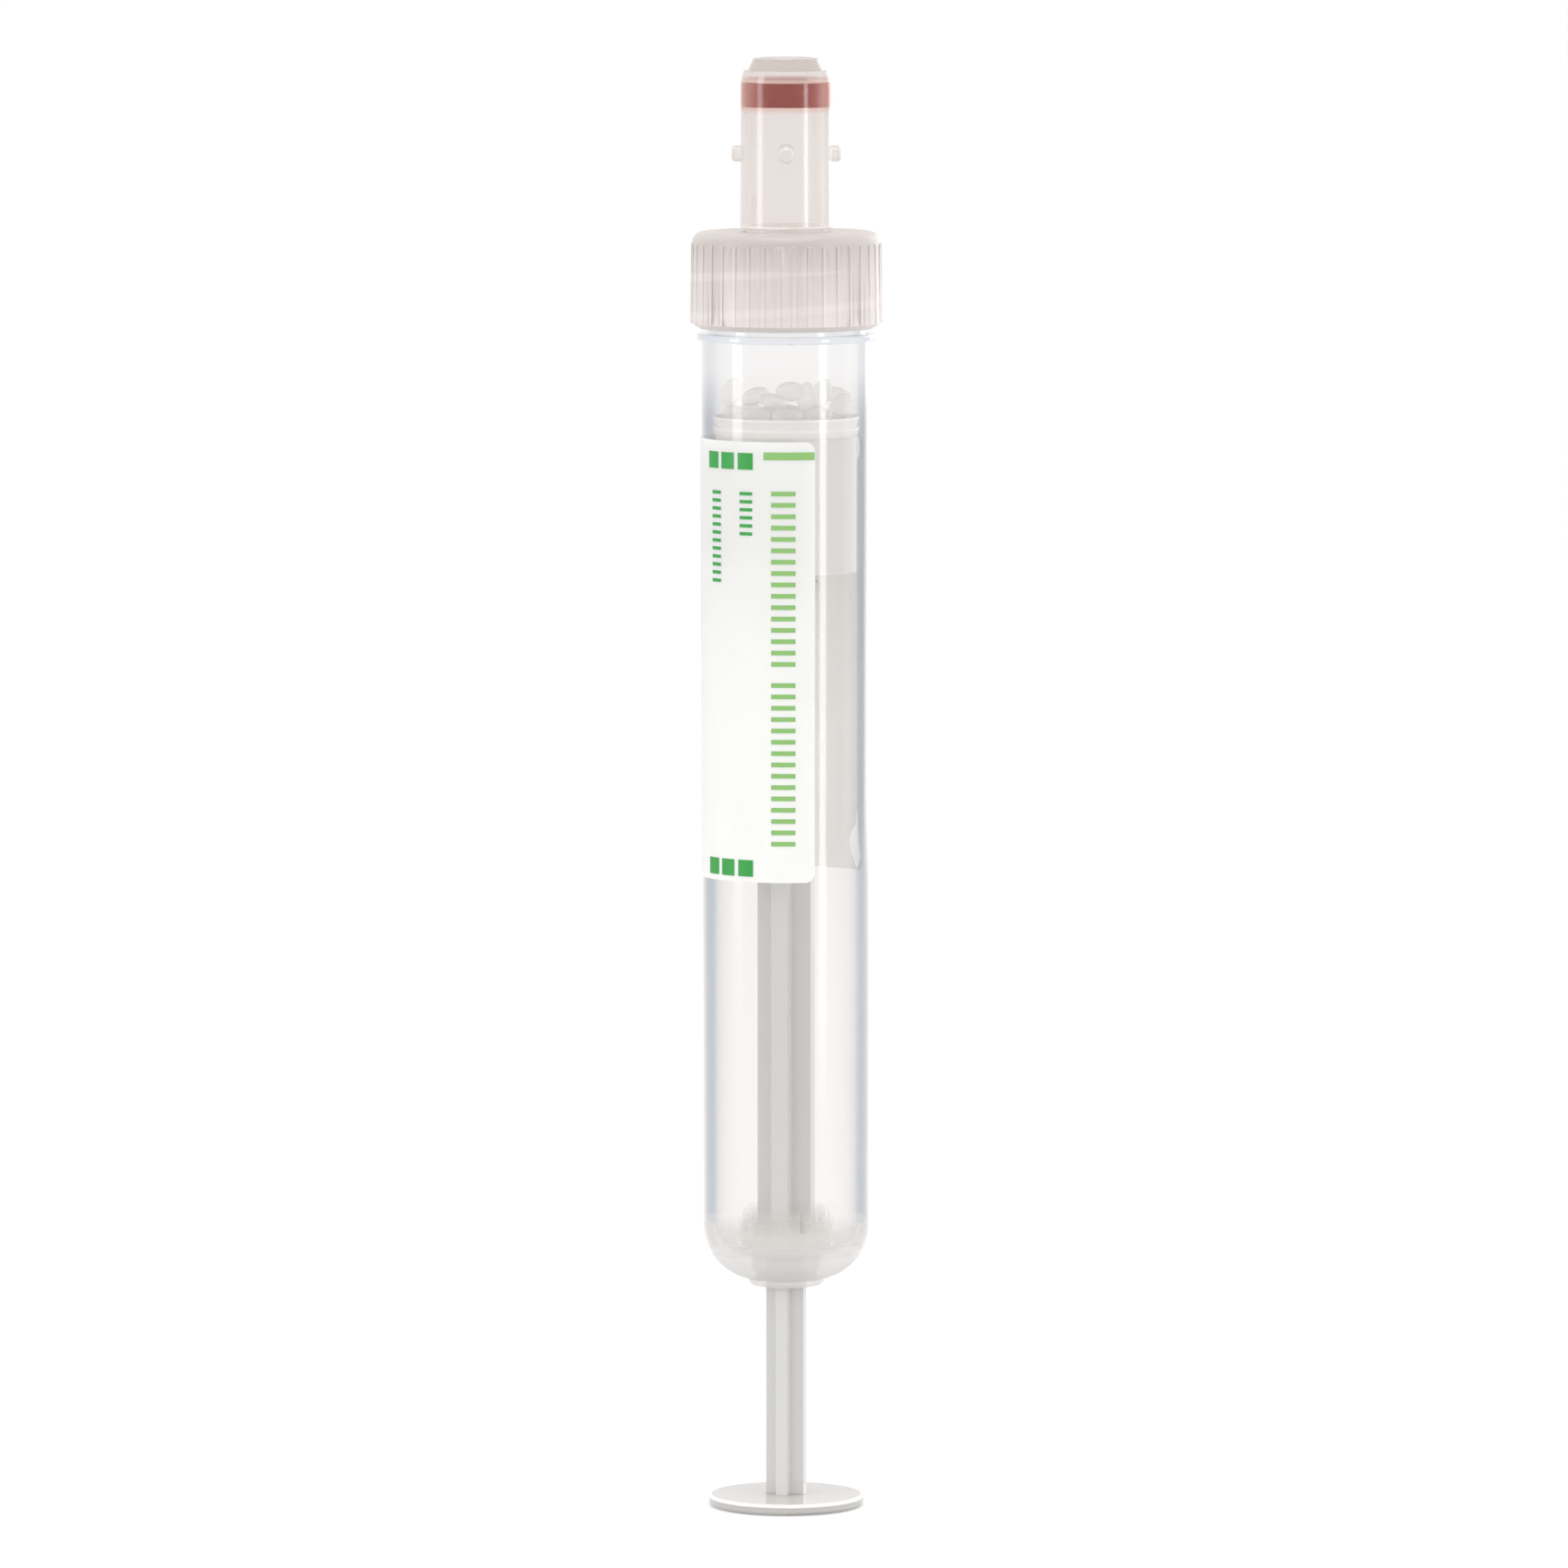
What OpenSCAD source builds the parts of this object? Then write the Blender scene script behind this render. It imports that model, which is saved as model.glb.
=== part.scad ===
// Piston-type blood collection tube: a clear moulded tube with a domed base, a lipped piston on a
// cross-shaped rod, loose clotting granules on the piston, and a ribbed screw cap that carries a
// bayonet needle adapter with a rubber membrane.
// It stands upright on the thumb plate: +Z runs up the axis, z = 0 is the underside of the plate.

/* [Thumb plate and rod] */
// Diameter of the thumb plate
plate_d = 14; // [12:0.5:15]
// Thickness of the thumb plate
plate_t = 1; // [0.8:0.1:1.5]
// Rounding of the thumb plate's edges
plate_edge_r = 0.3; // [0.1:0.05:0.35]
// Free rod between the thumb plate and the tube's base
rod_free_len = 19.2; // [10:0.1:25]
// Width across the arms of the lower, narrow cross
grip_cross_w = 3.5; // [3:0.1:4.5]
// Thickness of the narrow cross's arms
grip_arm_t = 1.05; // [0.8:0.05:1.4]
// Width across the arms of the upper, wide cross
rod_cross_w = 4.95; // [4.7:0.05:5]
// Thickness of the wide cross's arms
rod_arm_t = 1.5; // [1:0.1:1.6]
// How far the cross is turned about the axis
rod_turn = -15; // [-45:1:45]
// Length of the narrow cross that stands inside the base at rest
grip_inside_len = 4.3; // [3:0.1:6]
// Diameter of the neck where the rod snaps off after use
snap_neck_d = 2.4; // [1.8:0.1:3]
// Height of the snap-off neck
snap_neck_h = 0.8; // [0.5:0.1:1.5]
// Diameter of the spigot that holds the piston
spigot_d = 3.8; // [3.2:0.1:4]
// Length of the spigot
spigot_len = 12; // [6:0.5:15]

/* [Tube] */
// Length of the tube from the dome's underside to the rim
tube_len = 92; // [85:0.5:100]
// Bore diameter
bore_d = 13.24; // [13:0.02:13.8]
// Wall above the dome
tube_wall = 0.88; // [0.7:0.02:1.1]
// How much thicker the mould's draft makes the wall under the collar
tube_draft = 0.15; // [0:0.05:0.3]
// Outer rounding of the domed base
dome_r = 5; // [4.5:0.1:5.4]
// Inner rounding of the domed base
dome_inner_r = 3.6; // [3:0.1:4]
// Thickness of the base's floor between the socket and the wall
floor_t = 2.2; // [2:0.1:2.6]
// Wall of the threaded neck
neck_wall = 0.53; // [0.45:0.01:0.7]
// Height of the threaded neck above the collar
neck_len = 6.2; // [5:0.1:7]
// How far the collar under the cap stands out
collar_w = 0.4; // [0.3:0.05:0.6]
// Height of the collar
collar_h = 0.7; // [0.5:0.1:1]

/* [Tube base] */
// Wall of the ring under the base
foot_ring_wall = 0.65; // [0.5:0.05:1]
// Height of the ring under the base
foot_ring_h = 0.5; // [0.3:0.1:0.8]
// Bevel of the ring's lower edge
foot_ring_bevel = 0.3; // [0.1:0.05:0.4]
// Radial clearance of the wide cross in the base's hole
rod_clearance = 0.16; // [0.1:0.02:0.3]
// Wall left under the locking socket
socket_floor_t = 0.9; // [0.7:0.1:1.2]
// Clearance of the piston's stem in the locking socket
socket_clearance = 0.15; // [0.1:0.05:0.2]
// Wall of the locking socket
socket_wall = 0.85; // [0.7:0.05:1]
// Height of the straight part of the locking socket above the floor
socket_h = 3.8; // [3:0.1:4.5]
// Height of the tapered crown on the socket
crown_h = 0.7; // [0.4:0.1:1]
// How far the crown narrows outside
crown_taper = 0.25; // [0.1:0.05:0.4]
// Number of snap fingers in the crown
finger_count = 4; // [3:1:6]
// Width of the slots between the snap fingers
finger_slot_w = 0.5; // [0.3:0.1:0.8]
// Depth of the slots between the snap fingers
finger_slot_h = 2.2; // [1:0.1:3]
// Clearance of the snap bead inside the fingers round the piston's stem
snap_gap = 0.05; // [0.02:0.01:0.1]
// Height of the snap bead
snap_h = 0.5; // [0.3:0.1:0.8]
// Distance from the crown's top to the middle of the snap bead
snap_drop = 0.6; // [0.4:0.1:1]
// Number of ribs that stop the piston's skirt
stop_rib_count = 8; // [4:1:12]
// Thickness of a stop rib
stop_rib_t = 0.5; // [0.4:0.1:0.8]
// How far a stop rib stands in from the bore
stop_rib_w = 0.85; // [0.6:0.05:1]
// Height of the stop ribs above the floor
stop_rib_h = 4.2; // [4:0.1:5]

/* [Piston] */
// Depth of the piston's top below the rim
piston_depth = 14.1; // [13:0.1:20]
// Clearance between the sealing lips and the bore
lip_gap = 0.05; // [0.02:0.01:0.1]
// Height of a sealing lip
lip_h = 0.45; // [0.3:0.05:0.6]
// How far the upper lip stands above the crown
lip_rise = 0.4; // [0.1:0.05:0.6]
// Distance between the two sealing lips
lip_pitch = 0.95; // [0.8:0.05:2]
// Clearance between the skirt and the bore
skirt_gap = 0.3; // [0.2:0.05:0.5]
// Wall of the skirt
skirt_wall = 0.75; // [0.5:0.05:0.9]
// Length of the piston from its crown to the skirt's lower edge
piston_len = 13.6; // [10:0.1:16]
// Thickness of the crown
crown_t = 1.5; // [1:0.1:2]
// Wall of the stem
stem_wall = 1; // [0.8:0.05:1.2]
// How far the stem reaches below the skirt
stem_drop = 5.7; // [4:0.1:5.8]
// Play left under the stem when it is locked in the socket
lock_play = 0.2; // [0.1:0.05:0.5]
// Depth of the stem's groove for the snap bead
groove_in = 0.15; // [0.1:0.05:0.3]
// Clearance between the stem and the rod's spigot
spigot_gap = 0.05; // [0.02:0.01:0.1]
// Number of webs between the stem and the skirt
web_count = 4; // [3:1:6]
// Thickness of a web
web_t = 0.8; // [0.5:0.1:1.2]
// Height of the webs under the crown
web_h = 6; // [3:0.5:8]

/* [Screw cap] */
// Room for the thread between the neck and the cap's bore
thread_room = 0.45; // [0.35:0.05:0.6]
// Wall at the top of the skirt, between the grip ridges
cap_wall = 0.87; // [0.7:0.01:1.2]
// How much thicker the mould's draft makes the wall at the skirt's mouth
cap_draft = 0.1; // [0:0.02:0.2]
// Gap between the cap's mouth and the tube's collar
cap_gap = 0.4; // [0.1:0.05:0.5]
// Thickness of the cap's top
cap_top_t = 1.3; // [1:0.1:1.5]
// Rounding of the cap's top edge
cap_edge_r = 1; // [0.6:0.1:1.2]
// Height of the bevel round the cap's mouth
lip_bevel_h = 0.5; // [0.3:0.1:0.6]
// Width left flat round the cap's mouth
lip_flat_w = 0.15; // [0.1:0.05:0.3]
// Number of grip ridges
ridge_count = 38; // [24:2:48]
// Width of a grip ridge
ridge_w = 0.3; // [0.15:0.01:0.4]
// How far a grip ridge stands out
ridge_h = 0.08; // [0.05:0.01:0.2]

/* [Needle adapter] */
// Diameter of the neck where the needle holder fits, above the pins
adapter_d = 8.2; // [8:0.1:8.4]
// Height of the adapter's neck above the cap, up to the shoulder
adapter_len = 12.9; // [11:0.1:14]
// How much wider the mould's draft makes the neck at its foot
adapter_draft = 0.05; // [0:0.01:0.1]
// Wall of the adapter's neck
adapter_wall = 0.95; // [0.8:0.05:1.1]
// Gap between the neck's lower edge and the cap
waist_gap = 0.25; // [0.1:0.05:0.4]
// Depth of the waist that the cap clips round
waist_in = 0.4; // [0.3:0.05:0.5]
// Clearance of the waist in the cap's hole
waist_clearance = 0.05; // [0.03:0.01:0.1]
// Clearance of the flange in the cap's bore
flange_clearance = 0.3; // [0.1:0.05:0.4]
// Thickness of the flange
flange_t = 1.6; // [1.2:0.1:2]
// Length of the sealing plug in the tube's mouth
plug_len = 4.2; // [3:0.1:5]
// Clearance of the plug in the tube's mouth
plug_clearance = 0.05; // [0.02:0.01:0.1]
// Wall of the plug
plug_wall = 0.9; // [0.7:0.1:1.2]
// Radius of the arc of the shoulder
shoulder_arc_r = 4.6; // [4.3:0.1:5]
// Height of the shoulder
shoulder_h = 1.6; // [1.2:0.1:1.8]
// How far the mouth ring stands in from the neck's wall
mouth_ring_in = 0.65; // [0.5:0.05:0.8]
// How far the mouth ring tapers in up to its top
mouth_ring_taper = 0.4; // [0.3:0.05:0.7]
// Height of the mouth ring
mouth_ring_h = 1.1; // [0.8:0.1:1.3]
// Radius of the mouth ring's rounded edge
mouth_ring_round = 0.3; // [0.1:0.05:0.4]
// Diameter of the needle opening
needle_hole_d = 4; // [3.6:0.1:4.4]
// Number of bayonet pins
pin_count = 4; // [2:1:4]
// Diameter of a bayonet pin
pin_d = 1.45; // [1.2:0.05:1.6]
// How far a bayonet pin stands out
pin_out = 0.8; // [0.6:0.05:1]
// Height of the bayonet pins above the cap
pin_height = 7; // [6:0.1:8]
// Number of guide ribs in the adapter's bore
guide_count = 4; // [3:1:6]
// Height of the guide ribs above the flange's underside
guide_h = 6.4; // [4:0.1:8]
// How far a guide rib stands into the bore
guide_w = 0.5; // [0.3:0.05:0.7]
// Thickness of a guide rib
guide_t = 0.4; // [0.3:0.05:0.6]

/* [Membrane] */
// Thickness of the rubber membrane
membrane_t = 2.2; // [2:0.1:3.2]
// Distance from the mouth ring's foot down to the membrane
membrane_drop = 1.1; // [0.8:0.1:1.5]
// Wall left round the pocket that holds the membrane
pocket_wall = 0.45; // [0.4:0.05:0.7]
// Clearance round the membrane
membrane_clearance = 0.05; // [0.02:0.01:0.1]
// Height of the boss that fills the needle opening
boss_h = 0.3; // [0.2:0.1:0.8]
// Diameter of the dimple in the underside
dimple_d = 3.2; // [2:0.1:4]
// Depth of the dimple
dimple_h = 0.8; // [0.5:0.1:1.5]
// How far the snap bead stands into the bore under the membrane
bead_in = 0.2; // [0.1:0.05:0.3]
// Height of the snap bead
bead_h = 0.6; // [0.4:0.1:0.8]

/* [Label] */
// Height of the label
label_h = 39.6; // [30:0.1:45]
// Width of the label along the tube's wall
label_w = 35; // [20:1:42]
// Distance from the label's lower edge to the tube's base
label_lift = 37.3; // [30:0.1:40]
// Where the label's edge lies, turned from the front of the tube
label_edge_turn = 19.5; // [0:0.5:60]
// Thickness of the label
label_t = 0.08; // [0.05:0.01:0.12]
// Thickness of the adhesive under the label
label_glue = 0.02; // [0.01:0.005:0.04]
// Rounding of the label's corners
label_corner_r = 0.9; // [0.5:0.1:2]

/* [Granules] */
// Length of a granule
granule_l = 2.7; // [2:0.05:2.8]
// Width of a granule
granule_w = 1.85; // [1.5:0.05:2]
// Thickness of a granule
granule_t = 1.3; // [0.9:0.05:1.4]
// Clearance under a granule that lies flat
granule_gap = 0.02; // [0.01:0.01:0.1]

/* [Hidden] */
$fn = 96;
big = 200;
through = 1;

tube_base_z = plate_t + rod_free_len;
dome_z = tube_base_z + foot_ring_h;
rim_z = dome_z + tube_len;
collar_top_z = rim_z - neck_len;
collar_z = collar_top_z - collar_h;
bore_r = bore_d / 2;
tube_r = bore_r + tube_wall;
tube_top_r = tube_r + tube_draft;
neck_r = bore_r + neck_wall;
floor_z = dome_z + floor_t;

rod_reach = norm([rod_cross_w, rod_arm_t]) / 2;
rod_hole_r = rod_reach + rod_clearance;
foot_ring_r = rod_hole_r + foot_ring_wall;
stem_bore_r = spigot_d / 2 + spigot_gap;
stem_r = stem_bore_r + stem_wall;
socket_r = stem_r + socket_clearance;
socket_z = dome_z + socket_floor_t;
socket_out_r = socket_r + socket_wall;
socket_top_z = floor_z + socket_h;
crown_top_z = socket_top_z + crown_h;
snap_z = crown_top_z - snap_drop;
stop_rib_top_z = floor_z + stop_rib_h;

piston_z = rim_z - piston_depth;
skirt_z = piston_z - piston_len;
stem_z = skirt_z - stem_drop;
skirt_r = bore_r - skirt_gap;
lip_r = bore_r - lip_gap;
rod_step_z = tube_base_z + grip_inside_len;
rod_top_z = stem_z - snap_neck_h;
groove_z = stem_z + snap_z - socket_z - lock_play;

flange_top_z = rim_z + flange_t;
cap_top_z = flange_top_z + cap_top_t;
cap_z = collar_top_z + cap_gap;
cap_bore_r = neck_r + thread_room;
cap_top_r = cap_bore_r + cap_wall;
cap_bottom_r = cap_top_r + cap_draft;
cap_edge_z = cap_top_z - cap_edge_r;
neck_z = cap_top_z + waist_gap;
adapter_r = adapter_d / 2;
neck_foot_r = adapter_r + adapter_draft;
holder_seat_z = cap_top_z + pin_height + pin_d;
shoulder_z = cap_top_z + adapter_len;
mouth_z = shoulder_z + shoulder_h;
adapter_top_z = mouth_z + mouth_ring_h;
adapter_bore_r = adapter_r - adapter_wall;
waist_r = adapter_r - waist_in;
flange_r = cap_bore_r - flange_clearance;
mouth_ring_r = adapter_r - mouth_ring_in;
mouth_top_r = mouth_ring_r - mouth_ring_taper;
plug_r = bore_r - plug_clearance;

membrane_top_z = mouth_z - membrane_drop;
membrane_z = membrane_top_z - membrane_t;
seat_top_z = membrane_top_z + membrane_clearance;
seat_z = membrane_z - membrane_clearance;
pocket_r = adapter_r - pocket_wall;

label_z = tube_base_z + label_lift;
label_span = label_w / (tube_r + label_t) * 180 / PI;
label_from = -90 + label_edge_turn - label_span;

// Where each granule lies: across, back and up from lying on the crown, then roll, tilt and turn in degrees
granule_spots = [
    [-4.6, -1.5, 0, 0, 0, 70], [-2.7, -3.8, 0, 0, 0, 150], [0.1, -4.6, 0, 0, 0, 0],
    [2.9, -3.9, 0, 0, 0, 30], [2.9, 0.4, 0, 0, 0, 80], [4.8, 2.1, 0, 0, 0, 115],
    [2.2, 4.1, 0, 0, 0, 160], [-0.7, 4.6, 0, 0, 0, 0], [-3.3, 3.5, 0, 0, 0, 40],
    [-4.8, 1.3, 0, 0, 0, 100], [-1.7, -1.4, 0, 0, 0, 45], [0.9, -0.9, 0, 0, 0, 100], [0, 1.8, 0, 0, 0, 10],
    [-4.9, -1.4, 1.95, 60, -70, 0], [-2.8, -1.8, 1.6, 30, -18, 10], [-1.2, -3.6, 1.25, 20, 12, -10],
    [0.4, -1.4, 2, 60, 0, 0], [1.8, -2.9, 1.6, 0, -80, 60], [3.2, -1.5, 1.9, 60, -68, 0],
    [4.6, 1.2, 1.5, 30, 10, 20], [4.95, -2.1, 0.85, 50, -40, 40]
];
granule_count = len(granule_spots);

function granule_name(i) = str("granule_", i < 10 ? "0" : "", i);
// Outside radius of the drafted tube at height z
function wall_r(z) = tube_r + (tube_top_r - tube_r) * (z - dome_z - dome_r) / (collar_z - dome_z - dome_r);

// Turns the part of an outline that lies right of the axis
module turned() {
    rotate_extrude() intersection() {
        square([big, big]);
        children();
    }
}

// Rectangle from r0 to r1 and z0 to z1 with its outer corners rounded by c
module soft_ring(r0, r1, z0, z1, c) {
    translate([r0, z0]) square([r1 - c - r0, z1 - z0]);
    translate([r0, z0 + c]) square([r1 - r0, z1 - z0 - 2 * c]);
    for (z = [z0 + c, z1 - c]) translate([r1 - c, z]) circle(r = c);
}

module around(count) {
    for (i = [0:count - 1]) rotate([0, 0, i * 360 / count]) children();
}

module cross_bar(w, t, z0, z1) {
    for (turn = [0, 90]) rotate([0, 0, turn]) translate([-w / 2, -t / 2, z0]) cube([w, t, z1 - z0]);
}

module piston_rod() {
    color("gainsboro") {
        turned() soft_ring(0, plate_d / 2, 0, plate_t, plate_edge_r);
        rotate([0, 0, rod_turn]) {
            cross_bar(grip_cross_w, grip_arm_t, plate_t / 2, rod_step_z + rod_arm_t / 2);
            cross_bar(rod_cross_w, rod_arm_t, rod_step_z, rod_top_z);
        }
        translate([0, 0, rod_top_z - snap_neck_h]) cylinder(d = snap_neck_d, h = 3 * snap_neck_h);
        translate([0, 0, stem_z]) cylinder(d = spigot_d, h = spigot_len);
    }
}

module tube_outline() {
    polygon([[0, dome_z + dome_r], [tube_r, dome_z + dome_r], [tube_top_r, collar_z], [0, collar_z]]);
    translate([tube_r - dome_r, dome_z + dome_r]) circle(r = dome_r);
    translate([0, dome_z]) square([tube_r - dome_r, dome_r]);
    soft_ring(0, tube_top_r + collar_w, collar_z, collar_top_z, collar_h / 3);
    translate([0, collar_z]) square([neck_r, rim_z - collar_z]);
    polygon([[0, tube_base_z], [foot_ring_r - foot_ring_bevel, tube_base_z],
             [foot_ring_r, tube_base_z + foot_ring_bevel],
             [foot_ring_r, dome_z + foot_ring_bevel], [0, dome_z + foot_ring_bevel]]);
}

// Oval of height h at radius r and height z that reaches w to each side: a bead, or a cut for a groove
module bead(r, z, w, h) {
    translate([r, z]) scale([2 * w / h, 1]) circle(d = h);
}

module tube_cavity() {
    translate([0, tube_base_z - through]) square([rod_hole_r, tube_len]);
    difference() {
        translate([0, socket_z]) square([socket_r, tube_len]);
        bead(socket_r, snap_z, socket_clearance - snap_gap, snap_h);
    }
    difference() {
        union() {
            translate([0, floor_z + dome_inner_r]) square([bore_r, tube_len]);
            translate([0, floor_z]) square([bore_r - dome_inner_r, tube_len]);
            translate([bore_r - dome_inner_r, floor_z + dome_inner_r]) circle(r = dome_inner_r);
        }
        polygon([[0, dome_z], [socket_out_r, dome_z], [socket_out_r, socket_top_z],
                 [socket_out_r - crown_taper, crown_top_z], [0, crown_top_z]]);
    }
}

module tube() {
    color("aliceblue", 0.35) difference() {
        turned() tube_outline();
        difference() {
            turned() tube_cavity();
            around(stop_rib_count) translate([bore_r - stop_rib_w, -stop_rib_t / 2, dome_z])
                cube([tube_r, stop_rib_t, stop_rib_top_z - dome_z]);
        }
        rotate([0, 0, 180 / stop_rib_count]) around(finger_count)
            translate([0, -finger_slot_w / 2, crown_top_z - finger_slot_h])
                cube([socket_out_r + socket_clearance, finger_slot_w, finger_slot_h + through]);
    }
}

module piston_outline() {
    translate([0, piston_z - crown_t]) square([skirt_r, crown_t]);
    translate([skirt_r - skirt_wall, skirt_z]) square([skirt_wall, piston_len]);
    difference() {
        translate([0, stem_z]) square([stem_r, piston_z - stem_z]);
        bead(stem_r, groove_z, groove_in, snap_h);
    }
    for (z = [piston_z + lip_rise - lip_h, piston_z + lip_rise - lip_h - lip_pitch])
        polygon([[skirt_r - skirt_wall, z - lip_h], [skirt_r, z - lip_h], [lip_r, z + lip_h / 2],
                 [lip_r, z + lip_h],
                 [skirt_r - skirt_wall, min(z + lip_h / 2, piston_z)]]);
}

module piston() {
    color("whitesmoke") difference() {
        union() {
            turned() piston_outline();
            around(web_count) translate([stem_r / 2, -web_t / 2, piston_z - crown_t - web_h])
                cube([skirt_r - stem_r / 2 - skirt_wall / 2, web_t, web_h + crown_t / 2]);
        }
        translate([0, 0, stem_z - through])
            cylinder(r = stem_bore_r, h = piston_z - crown_t - stem_z + through);
    }
}

module screw_cap_outline() {
    polygon([[0, cap_z + lip_bevel_h], [cap_bottom_r, cap_z + lip_bevel_h],
             [cap_top_r, cap_edge_z], [0, cap_edge_z]]);
    translate([cap_top_r - cap_edge_r, cap_edge_z]) circle(r = cap_edge_r);
    translate([0, cap_edge_z]) square([cap_top_r - cap_edge_r, cap_edge_r]);
    polygon([[0, cap_z], [cap_bore_r + lip_flat_w, cap_z], [cap_bottom_r, cap_z + lip_bevel_h],
             [0, cap_z + lip_bevel_h]]);
}

// One grip ridge: a sliver of a ring that follows the skirt's draft
module grip_ridge() {
    ridge_angle = ridge_w / cap_top_r * 180 / PI;
    rotate([0, 0, -ridge_angle / 2]) rotate_extrude(angle = ridge_angle)
        polygon([[cap_bore_r + lip_flat_w, cap_z + lip_bevel_h],
                 [cap_bottom_r + ridge_h, cap_z + lip_bevel_h],
                 [cap_top_r + ridge_h, cap_edge_z - ridge_h], [cap_top_r, cap_edge_z],
                 [cap_bore_r + lip_flat_w, cap_edge_z]]);
}

module screw_cap() {
    color("mistyrose", 0.8) difference() {
        union() {
            turned() screw_cap_outline();
            around(ridge_count) grip_ridge();
        }
        translate([0, 0, cap_z - through]) cylinder(r = cap_bore_r, h = flange_top_z - cap_z + through);
        translate([0, 0, cap_z]) cylinder(r = waist_r + waist_clearance, h = cap_top_z - cap_z + through);
    }
}

module adapter_outline() {
    polygon([[0, rim_z - plug_len], [plug_r - plug_wall / 2, rim_z - plug_len],
             [plug_r, rim_z - plug_len + plug_wall], [plug_r, rim_z], [0, rim_z]]);
    translate([0, rim_z]) square([flange_r, flange_t]);
    translate([0, rim_z]) square([waist_r, neck_z - rim_z + waist_gap]);
    translate([0, neck_z]) square([neck_foot_r - waist_gap, waist_gap]);
    translate([neck_foot_r - waist_gap, neck_z + waist_gap]) circle(r = waist_gap);
    polygon([[0, neck_z + waist_gap], [neck_foot_r, neck_z + waist_gap], [adapter_r, holder_seat_z],
             [adapter_r, shoulder_z], [0, shoulder_z]]);
    intersection() {
        translate([adapter_r - shoulder_arc_r, shoulder_z]) circle(r = shoulder_arc_r);
        translate([0, shoulder_z]) square([adapter_r, shoulder_h]);
    }
    polygon([[0, mouth_z], [mouth_ring_r, mouth_z], [mouth_top_r, adapter_top_z - mouth_ring_round],
             [mouth_top_r - mouth_ring_round, adapter_top_z], [0, adapter_top_z]]);
    translate([mouth_top_r - mouth_ring_round, adapter_top_z - mouth_ring_round])
        circle(r = mouth_ring_round);
}

module adapter_bore() {
    translate([0, rim_z - plug_len - through]) square([plug_r - plug_wall, plug_len + through]);
    translate([0, rim_z - through]) square([adapter_bore_r, seat_top_z - rim_z + through]);
    translate([0, seat_z]) square([pocket_r, seat_top_z - seat_z]);
    translate([0, rim_z]) square([needle_hole_d / 2, big]);
}

module bayonet_pin() {
    rotate([0, 90, 0]) {
        cylinder(d = pin_d, h = adapter_r + pin_out - pin_d / 8);
        translate([0, 0, adapter_r + pin_out - pin_d / 8])
            cylinder(d1 = pin_d, d2 = pin_d * 3 / 4, h = pin_d / 8);
    }
}

module needle_adapter() {
    color("linen", 0.8) {
        difference() {
            union() {
                turned() adapter_outline();
                translate([0, 0, cap_top_z + pin_height]) around(pin_count) bayonet_pin();
            }
            turned() adapter_bore();
        }
        turned() bead(adapter_bore_r, seat_z - bead_h / 2, bead_in, bead_h);
        around(guide_count) translate([adapter_bore_r - guide_w, -guide_t / 2, rim_z])
            cube([2 * guide_w, guide_t, guide_h]);
    }
}

module membrane() {
    boss_r = needle_hole_d / 2 - membrane_clearance;
    color("rosybrown") difference() {
        turned() {
            translate([0, membrane_z]) square([pocket_r - membrane_clearance, membrane_t]);
            translate([0, membrane_z]) square([boss_r, membrane_t + boss_h]);
        }
        translate([0, 0, membrane_z - through]) cylinder(d = dimple_d, h = dimple_h + through);
    }
}

// Cuts one label corner to a round; the corner points along +Y and +Z
module corner_cut() {
    difference() {
        translate([-label_corner_r, -label_corner_r, -label_corner_r])
            cube([2 * label_corner_r, 2 * label_corner_r, 2 * label_corner_r]);
        translate([-label_corner_r - through, -label_corner_r, -label_corner_r]) rotate([0, 90, 0])
            cylinder(r = label_corner_r, h = 2 * label_corner_r + 2 * through);
        translate([-label_corner_r - through, -3 * label_corner_r, -3 * label_corner_r])
            cube([2 * label_corner_r + 2 * through, 2 * label_corner_r, 4 * label_corner_r]);
        translate([-label_corner_r - through, -3 * label_corner_r, -3 * label_corner_r])
            cube([2 * label_corner_r + 2 * through, 4 * label_corner_r, 2 * label_corner_r]);
    }
}

module label() {
    inner = label_glue;
    outer = label_glue + label_t;
    z0 = label_z;
    z1 = label_z + label_h;
    color("white") difference() {
        rotate([0, 0, label_from]) rotate_extrude(angle = label_span)
            polygon([[wall_r(z0) + inner, z0], [wall_r(z0) + outer, z0],
                     [wall_r(z1) + outer, z1], [wall_r(z1) + inner, z1]]);
        for (end = [0, 1], top = [0, 1])
            rotate([0, 0, label_from + end * label_span]) translate([tube_r, 0, z0 + top * label_h])
                mirror([0, 1 - end, 0]) mirror([0, 0, 1 - top]) corner_cut();
    }
}

module granule(i) {
    spot = granule_spots[i - 1];
    lying_z = piston_z + granule_gap + granule_t / 2;
    color("snow") translate([spot[0], spot[1], lying_z + spot[2]]) rotate([spot[3], spot[4], spot[5]])
        scale([granule_l, granule_w, granule_t]) sphere(d = 1);
}

tube();
label();
screw_cap();
needle_adapter();
membrane();
piston();
piston_rod();
for (i = [1:granule_count]) granule(i);
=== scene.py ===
# Blood collection tube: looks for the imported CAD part, in metres, +Z up the tube's axis, -Y to the front.
import math

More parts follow.
